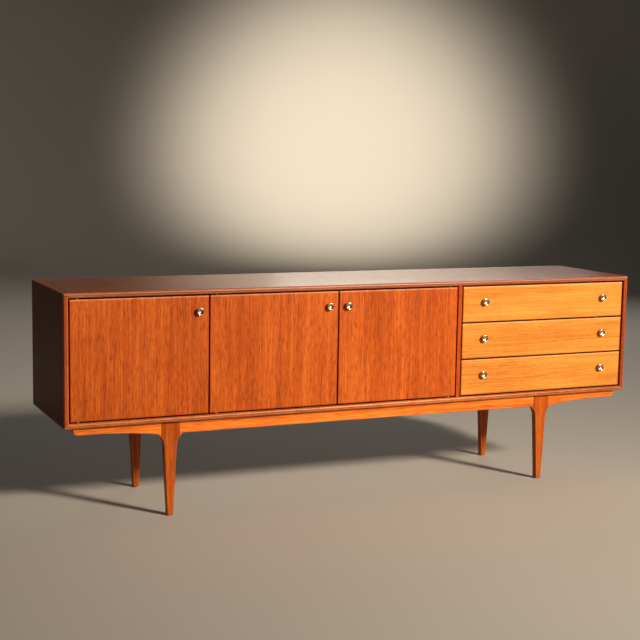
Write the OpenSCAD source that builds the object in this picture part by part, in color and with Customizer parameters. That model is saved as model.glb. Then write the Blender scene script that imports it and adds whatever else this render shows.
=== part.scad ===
/* [Case] */
// Overall width of the case
case_w = 2200; // [2000:10:2400]
// Depth of the case, from its lipping to its back
case_d = 466; // [440:1:500]
// Height from the floor to the top
total_h = 770; // [720:5:820]
// Thickness of the top, bottom and side boards
board_t = 17; // [16:0.5:19]
// Depth of the solid lipping along the front edges
lip_d = 12; // [10:1:16]
// Radius of the lipping's rounded front corners
lip_r = 7; // [4:0.5:7.5]
// Thickness of the plywood back
back_t = 6; // [4:1:8]
// How far the back is let into the boards
rebate = 8; // [6:1:9]
// Thickness of the upright between the doors and the drawers
stile_t = 15; // [14:0.5:18]
// Thickness of the shelves
shelf_t = 14; // [12:1:18]

/* [Doors] */
// Width of each of the three doors
door_w = 473; // [440:1:500]
// Thickness of the doors and drawer fronts
front_t = 18; // [16:1:19]
// Gap around each door and drawer front
gap = 5; // [3:0.5:6]
// How far the fronts sit back from the face of the lipping
recess = 6; // [4:1:8]
// Distance from a door's hinged edge to its pivot
pivot_in = 25; // [24:0.5:26]
// Radius of the pivot pins
pin_r = 3; // [2.5:0.5:3.5]
// Radial clearance of a pin in its bush
pin_fit = 0.05; // [0.03:0.01:0.08]

/* [Drawers] */
// Thickness of the drawer sides
drawer_side_t = 12; // [10:1:14]
// Depth of the drawer boxes behind their fronts
drawer_d = 390; // [350:5:400]
// Clearance between a drawer box and the walls beside it
drawer_gap = 3; // [2.5:0.5:4]

/* [Knobs] */
// Radius of a knob's rim
knob_r = 13.5; // [11:0.5:15]
// How far a knob stands out from the wood
knob_h = 13; // [12:0.5:16]
// Distance of a door knob from the door's free edge
door_knob_in = 33; // [28:1:45]
// Distance of a door knob below the door's top edge
door_knob_down = 52; // [40:1:70]
// Distance of a drawer knob from the end of its front
drawer_knob_in = 91; // [70:1:120]
// Height of a drawer knob above the middle of its front
drawer_knob_up = 9; // [0:1:20]

/* [Base] */
// Height from the floor to the underside of the case
base_h = 325; // [290:5:350]
// How far the base sits in from the front and back of the case
base_in = 17; // [10:1:30]
// Thickness of the legs and long rails
rail_t = 26; // [24:1:30]
// Height of the long rails
rail_h = 42; // [38:1:50]
// Distance of a leg's centre from the end of the case
leg_in = 365; // [300:5:420]
// Width of a leg at the foot
foot_w = 20; // [18:1:26]
// Width of a leg at the neck, under the rail
neck_w = 46; // [40:1:52]
// How far the neck lies below the underside of the case
neck_down = 85; // [80:1:95]
// Half the width of the leg's head, where the rails meet it
head_half = 33; // [30:1:36]
// Distance of a rail end's tip from the end of the case
tip_in = 33; // [20:1:60]
// Height of a rail end at its tip
tip_h = 26; // [22:1:30]

/* [Hidden] */

$fn = 48;

// Colours of the wood and metal
teak_red = [0.72, 0.33, 0.14];
teak_gold = [0.90, 0.56, 0.24];
teak_lip = [0.70, 0.38, 0.22];
birch = [0.85, 0.72, 0.52];
ply = [0.74, 0.58, 0.40];
nickel = [0.78, 0.75, 0.68];
brass = [0.78, 0.62, 0.32];
plastic = [0.36, 0.22, 0.14];

// The origin is on the floor, under the middle of the whole: the knobs stand out in front,
// and the heads of the back's screws behind
back_screw_head_t = 1.8;
case_front = (knob_h - recess - case_d - back_screw_head_t) / 2;
case_back = case_front + case_d;
case_left = -case_w / 2;
case_right = case_w / 2;
case_top = total_h;
case_bottom = base_h;
inner_left = case_left + board_t;
inner_right = case_right - board_t;
inner_top = case_top - board_t;
inner_bottom = case_bottom + board_t;
inner_back = case_back - back_t;

// Fronts: three doors from the left, then the stile, then the drawers
fronts_y = case_front + recess;
fronts_back = fronts_y + front_t;
door_h = inner_top - inner_bottom - 2 * gap;
door_z = inner_bottom + gap;
door_x = [for (i = [0:2]) inner_left + gap + i * (door_w + gap)];
stile_x = door_x[2] + door_w + gap;
drawer_x = stile_x + stile_t + gap;
drawer_w = inner_right - gap - drawer_x;
drawer_h = (inner_top - inner_bottom - 4 * gap) / 3;

// The cupboard divider stands behind the free edge of the left door
divider_x = door_x[0] + door_w - board_t;
divider_setback = 3;
divider_y = fronts_back + divider_setback;

// Shelves rest on pins, a little over halfway up
shelf_up = 200;
shelf_z = inner_bottom + shelf_up;
shelf_setback = 60;
shelf_slack = 1;
shelf_pin_r = 2.5;
shelf_pin_in = 7;
shelf_pin_out = 8;
shelf_pin_edge = 45;

// Pivots of the doors: a pin in the board, a washer in the gap, a bush in the door
pivot_y = fronts_y + front_t / 2;
pivot_x = [door_x[0] + pivot_in, door_x[1] + pivot_in, door_x[2] + door_w - pivot_in];
pin_in_board = 10;
pin_in_door = 10;
washer_r = 6.5;
washer_play = 0.5;
washer_t = gap - washer_play;
bush_r = 4.5;
bush_l = 12;

// Magnetic catches under the top, and the steel plates that they hold
catch_size = [40, 13, 11];
catch_from_edge = 95;
plate_size = [38, 1, 10];
plate_gap = 0.5;
plate_down = 2;

// Knob: flange, neck, flared cup with a hollow face, and its screw
flange_r = 7;
flange_t = 1.5;
neck_r = 5.5;
flare_z = 4.5;
rim_t = 3;
rim_land = 1.2;
dish_r = knob_r - rim_land;
dish_depth = 4;
dish_sphere = (dish_r * dish_r + dish_depth * dish_depth) / (2 * dish_depth);
knob_screw_r = 2;
knob_screw_hole_r = 2.25;
knob_screw_in = 7;
screw_head_r = 4;
screw_head_t = 2.5;
slot_w = 1;
slot_depth = 1.2;
door_knob_z = door_z + door_h - door_knob_down;

// Drawer boxes run on wooden strips that enter grooves in their sides
box_left = drawer_x - gap + drawer_gap;
box_right = inner_right - drawer_gap;
box_z = 12;
box_down = 18;
box_h = drawer_h - box_z - box_down;
groove_h = 10;
groove_d = 5.5;
groove_stop = 20;
runner_play = 0.6;
runner_h = groove_h - runner_play;
runner_end_play = 0.5;
runner_t = drawer_gap + groove_d - runner_end_play;
runner_slack = 2;
drawer_back_t = 10;
drawer_back_down = 10;
bottom_t = 4;
bottom_up = 8;
bottom_in = 4;

// Base
leg_x = case_w / 2 - leg_in;
rail_front = case_front + base_in;
rail_back = case_back - base_in;
glide_t = 2;
glide_r = 7;
nail_r = 1.2;
nail_l = 14;
neck_z = case_bottom - neck_down;
shoulder_w = 21;
fillet_h = neck_down - rail_h;
fillet_r = (shoulder_w * shoulder_w + fillet_h * fillet_h) / (2 * shoulder_w);
fillet_steps = 10;
shoulder_steps = 5;
shoulder_x = neck_w / 2 + shoulder_w;
head_arc = fillet_r - (head_half - neck_w / 2);
head_joint = sqrt(fillet_r * fillet_r - head_arc * head_arc);
tip_x = case_w / 2 - tip_in;
tip_r = 14;
taper_power = 2.5;
cross_t = 22;
cross_h = 50;
bracket_l = 60;
bracket_h = 30;
bracket_r = (bracket_l * bracket_l + bracket_h * bracket_h) / (2 * bracket_h);
bracket_steps = 10;
base_screw_r = 2.5;
base_screw_head_r = 5.5;
base_screw_head_t = 3.5;
counterbore_r = 6;
counterbore_up = 22;
base_screw_in = 12;
cross_screw_off = 25;

// Screws around the back, midway across the rebate, with domed heads a little flat on top
back_screw_r = 1.5;
back_screw_head_r = 3.5;
back_screw_dome_r = 5;
back_screw_flat = 0.2;
back_screw_in = 10;
back_screw_edge = rebate / 2;
back_screw_end = 40;
back_screws_across = 8;
back_screws_up = 3;

// Round clearance that keeps a cutter's end clear of the face that it cuts
eps = 1;

// ---- Helpers ----

// An outline in X and Z, drawn out along Y from y0 to y1
module along_y(y0, y1) {
  translate([0, y1, 0]) rotate([90, 0, 0]) linear_extrude(y1 - y0) children();
}

// An outline in Y and Z, drawn out along X from x0 to x1
module along_x(x0, x1) {
  translate([x0, 0, 0]) rotate([90, 0, 90]) linear_extrude(x1 - x0) children();
}

// A block between two opposite corners
module block(a, b) {
  translate(a) cube(b - a);
}

// A bar's outline, depth d and width w, with the two corners on its x = 0 side rounded
module lip_outline(d, w) {
  intersection() {
    square([d, w]);
    union() {
      translate([lip_r, 0]) square([d - lip_r, w]);
      translate([0, lip_r]) square([lip_r, w - 2 * lip_r]);
      for (y = [lip_r, w - lip_r]) translate([lip_r, y]) circle(lip_r);
    }
  }
}

// ---- Case boards, mitred at the corners ----

// Outline in X and Z of the top (up = 1) or bottom (up = -1) board
module level_outline(up) {
  outer = up > 0 ? case_top : case_bottom;
  inner = up > 0 ? inner_top : inner_bottom;
  polygon([[case_left, outer], [case_right, outer], [inner_right, inner], [inner_left, inner]]);
}

// Outline in X and Z of the left (side = -1) or right (side = 1) board
module upright_outline(side) {
  outer = side * case_w / 2;
  inner = side * (case_w / 2 - board_t);
  polygon([[outer, case_bottom], [outer, case_top], [inner, inner_top], [inner, inner_bottom]]);
}

// The space that the back fills
module back_space() {
  block([inner_left - rebate, inner_back, inner_bottom - rebate],
        [inner_right + rebate, case_back + eps, inner_top + rebate]);
}

// Where the back is screwed to the boards: along the top, the bottom and the two ends
back_screw_step_x = (inner_right - inner_left - 2 * back_screw_end) / (back_screws_across - 1);
back_screw_step_z = (inner_top - inner_bottom) / (back_screws_up + 1);
back_screw_points = concat(
  [for (i = [0:back_screws_across - 1], z = [inner_bottom - back_screw_edge, inner_top + back_screw_edge])
    [inner_left + back_screw_end + i * back_screw_step_x, z]],
  [for (i = [1:back_screws_up], x = [inner_left - back_screw_edge, inner_right + back_screw_edge])
    [x, inner_bottom + i * back_screw_step_z]]
);

// Holes for the back's screws, through the back and into the boards
module back_screw_holes() {
  for (p = back_screw_points)
    translate([p[0], case_back + eps, p[1]]) rotate([90, 0, 0])
      cylinder(r = back_screw_r, h = back_t + back_screw_in + eps, $fn = 24);
}

// Holes for the pivot pins, into the top and bottom boards
module pivot_holes() {
  for (x = pivot_x) {
    translate([x, pivot_y, inner_top - eps]) cylinder(r = pin_r, h = pin_in_board + eps);
    translate([x, pivot_y, inner_bottom - pin_in_board]) cylinder(r = pin_r, h = pin_in_board + eps);
  }
}

// Holes for the shelf pins of one cupboard, into the walls at x0 and x1
module shelf_pin_holes(x0, x1) {
  for (y = shelf_pin_y) {
    translate([x0 - shelf_pin_in, y, shelf_z - shelf_pin_r]) rotate([0, 90, 0])
      cylinder(r = shelf_pin_r, h = shelf_pin_in + eps, $fn = 32);
    translate([x1 - eps, y, shelf_z - shelf_pin_r]) rotate([0, 90, 0])
      cylinder(r = shelf_pin_r, h = shelf_pin_in + eps, $fn = 32);
  }
}

// Holes for the base's screws: shank holes up into the bottom, and a counterbore in each rail
module base_screw_holes() {
  for (p = base_screw_points) {
    translate([p[0], p[1], case_bottom - p[2] - eps])
      cylinder(r = base_screw_r, h = p[2] + base_screw_in + eps);
    translate([p[0], p[1], case_bottom - p[2] - eps])
      cylinder(r = counterbore_r, h = counterbore_up + eps);
  }
}

module level_board(up) {
  color(teak_red) difference() {
    along_y(case_front + lip_d, case_back) level_outline(up);
    back_space();
    back_screw_holes();
    pivot_holes();
    base_screw_holes();
  }
}

module upright_board(side) {
  color(teak_red) difference() {
    along_y(case_front + lip_d, case_back) upright_outline(side);
    back_space();
    back_screw_holes();
    shelf_pin_holes(inner_left, divider_x);
  }
}

module top_panel() level_board(1);
module bottom_panel() level_board(-1);
module left_side_panel() upright_board(-1);
module right_side_panel() upright_board(1);

module back_panel() {
  color(ply) difference() {
    block([inner_left - rebate, inner_back, inner_bottom - rebate],
          [inner_right + rebate, case_back, inner_top + rebate]);
    back_screw_holes();
  }
}

module back_panel_screws() {
  color(brass) for (p = back_screw_points)
    translate([p[0], case_back, p[1]]) rotate([-90, 0, 0]) {
      translate([0, 0, -back_t - back_screw_in])
        cylinder(r = back_screw_r, h = back_t + back_screw_in, $fn = 24);
      intersection() {
        cylinder(r = back_screw_head_r, h = back_screw_head_t, $fn = 24);
        translate([0, 0, back_screw_head_t + back_screw_flat - back_screw_dome_r])
          sphere(back_screw_dome_r, $fn = 32);
      }
    }
}

// ---- Solid lippings, mitred like the boards that they edge ----

// Level lipping on the top (up = 1) or bottom (up = -1) board
module level_lipping(up) {
  color(teak_lip) intersection() {
    along_x(case_left, case_right)
      translate([case_front, up > 0 ? inner_top : case_bottom]) lip_outline(lip_d, board_t);
    along_y(case_front - eps, case_back) level_outline(up);
  }
}

// Upright lipping on the left (side = -1) or right (side = 1) board
module upright_lipping(side) {
  color(teak_lip) intersection() {
    translate([side > 0 ? case_right : inner_left, case_front, case_bottom]) rotate([0, 0, 90])
      linear_extrude(case_top - case_bottom) lip_outline(lip_d, board_t);
    along_y(case_front - eps, case_back) upright_outline(side);
  }
}

module top_lipping() level_lipping(1);
module bottom_lipping() level_lipping(-1);
module side_lippings() for (side = [-1, 1]) upright_lipping(side);

// ---- Dividers, shelves and the drawers' runners ----

shelf_pin_y = [case_front + shelf_setback + shelf_pin_edge, inner_back - shelf_pin_edge];

module cupboard_divider() {
  color(teak_red) difference() {
    block([divider_x, divider_y, inner_bottom], [divider_x + board_t, inner_back, inner_top]);
    shelf_pin_holes(inner_left, divider_x);
    shelf_pin_holes(divider_x + board_t, stile_x);
  }
}

module drawer_divider() {
  color(teak_lip) difference() {
    block([stile_x, fronts_y, inner_bottom], [stile_x + stile_t, inner_back, inner_top]);
    shelf_pin_holes(divider_x + board_t, stile_x);
  }
}

// A shelf between the walls at x0 and x1
module shelf(x0, x1) {
  color(teak_red)
    block([x0 + shelf_slack, case_front + shelf_setback, shelf_z],
          [x1 - shelf_slack, inner_back - shelf_slack, shelf_z + shelf_t]);
}

module small_shelf() shelf(inner_left, divider_x);
module wide_shelf() shelf(divider_x + board_t, stile_x);

module shelf_pins() {
  pin_l = shelf_pin_in + shelf_pin_out;
  color(brass) for (wall = [[inner_left, divider_x], [divider_x + board_t, stile_x]], y = shelf_pin_y) {
    translate([wall[0] - shelf_pin_in, y, shelf_z - shelf_pin_r]) rotate([0, 90, 0])
      cylinder(r = shelf_pin_r, h = pin_l, $fn = 32);
    translate([wall[1] - shelf_pin_out, y, shelf_z - shelf_pin_r]) rotate([0, 90, 0])
      cylinder(r = shelf_pin_r, h = pin_l, $fn = 32);
  }
}

// Height of the bottom edge of drawer i's front, the top drawer being 0
function drawer_z(i) = inner_bottom + gap + (2 - i) * (drawer_h + gap);
// Height of the middle of drawer i's grooves
function groove_z(i) = drawer_z(i) + box_z + box_h / 2;

module drawer_runners() {
  runner_y = fronts_back + groove_stop + runner_slack;
  color(birch) for (i = [0:2]) {
    z = groove_z(i) - runner_h / 2;
    block([stile_x + stile_t, runner_y, z], [stile_x + stile_t + runner_t, inner_back, z + runner_h]);
    block([inner_right - runner_t, runner_y, z], [inner_right, inner_back, z + runner_h]);
  }
}

// ---- Door hardware on the case ----

module pivot_pin() {
  cylinder(r = pin_r, h = pin_in_board + gap + pin_in_door);
  translate([0, 0, pin_in_board]) cylinder(r = washer_r, h = washer_t);
}

module pivot_pins() {
  color(brass) for (x = pivot_x) {
    translate([x, pivot_y, inner_bottom - pin_in_board]) pivot_pin();
    translate([x, pivot_y, inner_top + pin_in_board]) mirror([0, 0, 1]) pivot_pin();
  }
}

// Middle of each door's catch, near its free edge
catch_x = [door_x[0] + door_w - catch_from_edge, door_x[1] + door_w - catch_from_edge,
           door_x[2] + catch_from_edge];
catch_y = fronts_back + plate_size[1] + plate_gap;

module magnet_catches() {
  color(plastic) for (x = catch_x)
    translate([x - catch_size[0] / 2, catch_y, inner_top - catch_size[2]]) cube(catch_size);
}

// ---- Knobs ----

// A knob on a wooden face at y = 0, standing out towards -Y
module knob() {
  color(nickel) rotate([90, 0, 0]) difference() {
    union() {
      cylinder(r = flange_r, h = flange_t);
      cylinder(r = neck_r, h = flare_z);
      translate([0, 0, flare_z])
        cylinder(r1 = neck_r, r2 = knob_r, h = knob_h - rim_t - flare_z);
      translate([0, 0, knob_h - rim_t]) cylinder(r = knob_r, h = rim_t);
    }
    translate([0, 0, knob_h - dish_depth + dish_sphere]) sphere(dish_sphere, $fn = 96);
    translate([0, 0, -eps]) cylinder(r = knob_screw_r, h = knob_screw_in + eps);
  }
}

// Its screw, put in from the back of the wood
module knob_screw() {
  color(nickel) rotate([90, 0, 0]) {
    translate([0, 0, -front_t]) cylinder(r = knob_screw_r, h = front_t + knob_screw_in);
    difference() {
      translate([0, 0, -front_t - screw_head_t]) cylinder(r = screw_head_r, h = screw_head_t);
      translate([-screw_head_r - eps, -slot_w / 2, -front_t - screw_head_t - eps])
        cube([2 * screw_head_r + 2 * eps, slot_w, eps + slot_depth]);
    }
  }
}

// The hole for that screw
module knob_screw_hole() {
  translate([0, -eps, 0]) rotate([-90, 0, 0]) cylinder(r = knob_screw_hole_r, h = front_t + 2 * eps);
}

// ---- Doors ----

door_knob_x = [door_x[0] + door_w - door_knob_in, door_x[1] + door_w - door_knob_in,
               door_x[2] + door_knob_in];

module door_panel(i) {
  color(teak_red) difference() {
    block([door_x[i], fronts_y, door_z], [door_x[i] + door_w, fronts_back, door_z + door_h]);
    translate([pivot_x[i], pivot_y, door_z - eps]) cylinder(r = bush_r, h = bush_l + eps);
    translate([pivot_x[i], pivot_y, door_z + door_h - bush_l]) cylinder(r = bush_r, h = bush_l + eps);
    translate([door_knob_x[i], fronts_y, door_knob_z]) knob_screw_hole();
  }
}

module door_bushes(i) {
  color(brass) for (z = [door_z, door_z + door_h - bush_l])
    translate([pivot_x[i], pivot_y, z]) difference() {
      cylinder(r = bush_r, h = bush_l);
      translate([0, 0, -eps]) cylinder(r = pin_r + pin_fit, h = bush_l + 2 * eps);
    }
}

module door_strike_plate(i) {
  color(nickel)
    translate([catch_x[i] - plate_size[0] / 2, fronts_back, door_z + door_h - plate_down - plate_size[2]])
      cube(plate_size);
}

module door_knob(i) translate([door_knob_x[i], fronts_y, door_knob_z]) knob();
module door_knob_screw(i) translate([door_knob_x[i], fronts_y, door_knob_z]) knob_screw();

module left_door_panel() door_panel(0);
module left_door_knob() door_knob(0);
module left_door_knob_screw() door_knob_screw(0);
module left_door_bushes() door_bushes(0);
module left_door_strike_plate() door_strike_plate(0);

module middle_door_panel() door_panel(1);
module middle_door_knob() door_knob(1);
module middle_door_knob_screw() door_knob_screw(1);
module middle_door_bushes() door_bushes(1);
module middle_door_strike_plate() door_strike_plate(1);

module right_door_panel() door_panel(2);
module right_door_knob() door_knob(2);
module right_door_knob_screw() door_knob_screw(2);
module right_door_bushes() door_bushes(2);
module right_door_strike_plate() door_strike_plate(2);

// ---- Drawers ----

// Where the two knobs of drawer i sit
function drawer_knob_points(i) = [for (x = [drawer_x + drawer_knob_in, drawer_x + drawer_w - drawer_knob_in])
  [x, fronts_y, drawer_z(i) + drawer_h / 2 + drawer_knob_up]];

// The plywood bottom of drawer i, let into grooves in the front and sides
module drawer_bottom(i) {
  z = drawer_z(i) + box_z + bottom_up;
  color(ply)
    block([box_left + drawer_side_t - bottom_in, fronts_back - bottom_in, z],
          [box_right - drawer_side_t + bottom_in, fronts_back + drawer_d, z + bottom_t]);
}

module drawer_front(i) {
  color(teak_gold) difference() {
    block([drawer_x, fronts_y, drawer_z(i)], [drawer_x + drawer_w, fronts_back, drawer_z(i) + drawer_h]);
    drawer_bottom(i);
    for (p = drawer_knob_points(i)) translate(p) knob_screw_hole();
  }
}

module drawer_sides(i) {
  z = drawer_z(i) + box_z;
  groove_y = fronts_back + groove_stop;
  groove_low = groove_z(i) - groove_h / 2;
  color(birch) difference() {
    for (x = [box_left, box_right - drawer_side_t])
      block([x, fronts_back, z], [x + drawer_side_t, fronts_back + drawer_d, z + box_h]);
    drawer_bottom(i);
    block([box_left - eps, groove_y, groove_low],
          [box_left + groove_d, fronts_back + drawer_d + eps, groove_low + groove_h]);
    block([box_right - groove_d, groove_y, groove_low],
          [box_right + eps, fronts_back + drawer_d + eps, groove_low + groove_h]);
  }
}

module drawer_back(i) {
  low = drawer_z(i) + box_z + bottom_up + bottom_t;
  high = drawer_z(i) + box_z + box_h - drawer_back_down;
  y = fronts_back + drawer_d - drawer_back_t;
  color(birch)
    block([box_left + drawer_side_t, y, low], [box_right - drawer_side_t, y + drawer_back_t, high]);
}

module drawer_knobs(i) for (p = drawer_knob_points(i)) translate(p) knob();
module drawer_knob_screws(i) for (p = drawer_knob_points(i)) translate(p) knob_screw();

module top_drawer_front() drawer_front(0);
module top_drawer_sides() drawer_sides(0);
module top_drawer_back() drawer_back(0);
module top_drawer_bottom() drawer_bottom(0);
module top_drawer_knobs() drawer_knobs(0);
module top_drawer_knob_screws() drawer_knob_screws(0);

module middle_drawer_front() drawer_front(1);
module middle_drawer_sides() drawer_sides(1);
module middle_drawer_back() drawer_back(1);
module middle_drawer_bottom() drawer_bottom(1);
module middle_drawer_knobs() drawer_knobs(1);
module middle_drawer_knob_screws() drawer_knob_screws(1);

module bottom_drawer_front() drawer_front(2);
module bottom_drawer_sides() drawer_sides(2);
module bottom_drawer_back() drawer_back(2);
module bottom_drawer_bottom() drawer_bottom(2);
module bottom_drawer_knobs() drawer_knobs(2);
module bottom_drawer_knob_screws() drawer_knob_screws(2);

// ---- Base ----

// Where the base is screwed up into the case: x, y and the height of the rail there
cross_screw_y = [rail_front + rail_t + bracket_l + cross_screw_off,
                 rail_back - rail_t - bracket_l - cross_screw_off];
base_screw_points = concat(
  [for (x = [-leg_x / 2, leg_x / 2], y = [rail_front + rail_t / 2, rail_back - rail_t / 2]) [x, y, rail_h]],
  [for (x = [-leg_x, leg_x], y = cross_screw_y) [x, y, cross_h]]
);

// Half the width of leg and fillet at height h above the neck: the fillet is an arc, upright at the neck
function fillet_x(h) = neck_w / 2 + fillet_r - sqrt(fillet_r * fillet_r - h * h);

// Points up the fillet from height h0 to h1 above the neck, on the +X side of a leg's centre line
function fillet_points(h0, h1, steps) = [for (i = [0:steps]) let (h = h0 + (h1 - h0) * i / steps)
  [fillet_x(h), neck_z + h]];

// The same points to the other side, in the other order
function mirrored(points) = [for (i = [len(points) - 1:-1:0]) [-points[i][0], points[i][1]]];

// Outline in X and Z of a leg, about its own centre line
module leg_outline() {
  half = concat([[foot_w / 2, glide_t]], fillet_points(0, head_joint, fillet_steps), [[head_half, case_bottom]]);
  polygon(concat(half, mirrored(half)));
}

// Outline in X and Z of the long rail between two legs, with its share of the fillets
module rail_outline() {
  shoulder = mirrored(fillet_points(head_joint, fillet_h, shoulder_steps));
  half = concat([for (p = shoulder) [leg_x + p[0], p[1]]], [[leg_x - head_half, case_bottom]]);
  polygon(concat(half, mirrored(half)));
}

// Height of a rail end at the fraction t of its length, 0 at the tip and 1 at the leg
function end_height(t) = tip_h + (rail_h - tip_h) * pow(t, taper_power);

// Outline in X and Z of the rail end on the right: fillet, tapered underside, rounded tip
module rail_end_outline() {
  root_x = leg_x + shoulder_x;
  flat_l = tip_x - tip_r - root_x;
  steps = 16;
  round_steps = 6;
  polygon(concat(
    [[leg_x + head_half, case_bottom]],
    [for (p = fillet_points(head_joint, fillet_h, shoulder_steps)) [leg_x + p[0], p[1]]],
    [for (i = [1:steps]) [root_x + flat_l * i / steps, case_bottom - end_height(1 - i / steps)]],
    [for (i = [1:round_steps]) let (a = 90 * i / round_steps)
      [tip_x - tip_r + tip_r * sin(a), case_bottom - tip_h + tip_r - tip_r * cos(a)]],
    [[tip_x, case_bottom]]
  ));
}

// Outline in Y and Z of a cross rail: straight below, with a curved bracket down each leg
module cross_rail_outline() {
  half_l = (rail_back - rail_front) / 2 - rail_t;
  low = case_bottom - cross_h;
  half = concat(
    [for (i = [0:bracket_steps]) let (y = bracket_l * i / bracket_steps)
      [half_l - bracket_l + y, low - bracket_r + sqrt(bracket_r * bracket_r - y * y)]],
    [[half_l, case_bottom]]
  );
  translate([(rail_front + rail_back) / 2, 0]) polygon(concat(half, mirrored(half)));
}

// The two faces of the base: front (0) and back (1), each rail_t thick
function rail_y(face) = face ? [rail_back - rail_t, rail_back] : [rail_front, rail_front + rail_t];

module long_rail(face) {
  color(teak_gold) difference() {
    along_y(rail_y(face)[0], rail_y(face)[1]) rail_outline();
    base_screw_holes();
  }
}

module rail_ends() {
  color(teak_gold) for (face = [0, 1], side = [0, 1])
    mirror([side, 0, 0]) along_y(rail_y(face)[0], rail_y(face)[1]) rail_end_outline();
}

module leg(face, side) {
  y = rail_y(face);
  color(teak_gold) difference() {
    translate([side * leg_x, 0, 0]) along_y(y[0], y[1]) leg_outline();
    translate([side * leg_x, (y[0] + y[1]) / 2, 0]) cylinder(r = nail_r, h = nail_l + glide_t, $fn = 24);
  }
}

module cross_rails() {
  color(teak_gold) difference() {
    for (x = [-leg_x, leg_x]) along_x(x - cross_t / 2, x + cross_t / 2) cross_rail_outline();
    base_screw_holes();
  }
}

module foot_glides() {
  color(plastic) for (face = [0, 1], x = [-leg_x, leg_x])
    translate([x, (rail_y(face)[0] + rail_y(face)[1]) / 2, 0]) {
      cylinder(r = glide_r, h = glide_t);
      cylinder(r = nail_r, h = nail_l + glide_t, $fn = 24);
    }
}

module base_screws() {
  color(nickel) for (p = base_screw_points) {
    head_z = case_bottom - p[2] + counterbore_up;
    translate([p[0], p[1], head_z - base_screw_head_t])
      cylinder(r = base_screw_head_r, h = base_screw_head_t);
    translate([p[0], p[1], head_z]) cylinder(r = base_screw_r, h = case_bottom + base_screw_in - head_z);
  }
}

module front_rail() long_rail(0);
module back_rail() long_rail(1);
module front_left_leg() leg(0, -1);
module front_right_leg() leg(0, 1);
module back_left_leg() leg(1, -1);
module back_right_leg() leg(1, 1);

top_panel();
bottom_panel();
left_side_panel();
right_side_panel();
back_panel();
cupboard_divider();
drawer_divider();
small_shelf();
wide_shelf();
shelf_pins();
top_lipping();
bottom_lipping();
side_lippings();
drawer_runners();
back_panel_screws();
pivot_pins();
magnet_catches();
front_rail();
back_rail();
rail_ends();
cross_rails();
front_left_leg();
front_right_leg();
back_left_leg();
back_right_leg();
foot_glides();
base_screws();
left_door_panel();
left_door_knob();
left_door_knob_screw();
left_door_bushes();
left_door_strike_plate();
middle_door_panel();
middle_door_knob();
middle_door_knob_screw();
middle_door_bushes();
middle_door_strike_plate();
right_door_panel();
right_door_knob();
right_door_knob_screw();
right_door_bushes();
right_door_strike_plate();
top_drawer_front();
top_drawer_sides();
top_drawer_back();
top_drawer_bottom();
top_drawer_knobs();
top_drawer_knob_screws();
middle_drawer_front();
middle_drawer_sides();
middle_drawer_back();
middle_drawer_bottom();
middle_drawer_knobs();
middle_drawer_knob_screws();
bottom_drawer_front();
bottom_drawer_sides();
bottom_drawer_back();
bottom_drawer_bottom();
bottom_drawer_knobs();
bottom_drawer_knob_screws();
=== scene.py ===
# A long low teak sideboard: three flush doors beside three drawers, solid rounded lippings,
# round dished metal knobs, and a separate base with four tapered legs.
import math

import bpy
import numpy as np
from mathutils import Matrix, Vector


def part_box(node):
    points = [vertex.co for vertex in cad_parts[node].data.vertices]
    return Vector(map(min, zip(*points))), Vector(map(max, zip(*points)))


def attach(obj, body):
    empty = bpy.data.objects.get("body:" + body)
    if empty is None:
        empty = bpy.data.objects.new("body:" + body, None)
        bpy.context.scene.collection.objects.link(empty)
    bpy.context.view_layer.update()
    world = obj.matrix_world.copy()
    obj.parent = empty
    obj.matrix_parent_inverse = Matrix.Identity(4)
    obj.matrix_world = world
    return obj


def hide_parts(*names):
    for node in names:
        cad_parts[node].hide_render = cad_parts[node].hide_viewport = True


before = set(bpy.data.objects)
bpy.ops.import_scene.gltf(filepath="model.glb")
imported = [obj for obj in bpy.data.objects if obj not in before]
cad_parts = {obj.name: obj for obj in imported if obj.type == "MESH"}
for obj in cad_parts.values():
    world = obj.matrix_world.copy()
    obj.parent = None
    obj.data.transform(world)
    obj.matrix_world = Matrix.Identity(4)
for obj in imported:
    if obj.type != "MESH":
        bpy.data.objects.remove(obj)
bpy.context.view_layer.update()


# ---- The room ----
# A pale seamless floor that curves up into a low wall all round. A warm lamp stands in front on
# the right; weaker lamps in front and behind, and a faint sky, fill the shade. A spot throws a
# soft pool of light on the wall behind, and the glossy top reflects it.

FLOOR_R = 8.5
BEND_R = 2.5
WALL_H = 3.2
MIDDLE_R = 0.01
BEND_STEPS = 12
ROUND_STEPS = 96
FLOOR_TONE = (0.44, 0.42, 0.395, 1)
NAP_SHADE = 0.94


def node(tree, kind, sockets=None, **settings):
    """One shader node. Settings are its properties; sockets holds values, or outputs to link from."""
    made = tree.nodes.new(kind)
    for name, value in settings.items():
        setattr(made, name, value)
    for socket, value in (sockets or {}).items():
        if isinstance(value, bpy.types.NodeSocket):
            tree.links.new(value, made.inputs[socket])
        else:
            made.inputs[socket].default_value = value
    return made


def new_finish(name):
    """A fresh material: its node tree, its surface shader and the piece's own coordinates."""
    made = bpy.data.materials.new(name)
    made.use_nodes = True
    tree = made.node_tree
    place = node(tree, "ShaderNodeTexCoord").outputs["Object"]
    return made, tree, tree.nodes["Principled BSDF"], place


def speckle(tree, place, per_metre, detail):
    """Noise that is alike in all directions."""
    return node(
        tree, "ShaderNodeTexNoise", {"Vector": place, "Scale": per_metre, "Detail": detail}
    ).outputs[0]


def mixed(tree, share, under, over):
    """The colour under, covered by the colour over as far as share says."""
    return node(tree, "ShaderNodeMix", {0: share, 6: under, 7: over}, data_type="RGBA").outputs[2]


def roughen(tree, shader, height, strength, depth):
    """Gives the surface the relief of height."""
    bump = node(tree, "ShaderNodeBump", {"Height": height, "Strength": strength, "Distance": depth})
    tree.links.new(bump.outputs[0], shader.inputs["Normal"])


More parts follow.
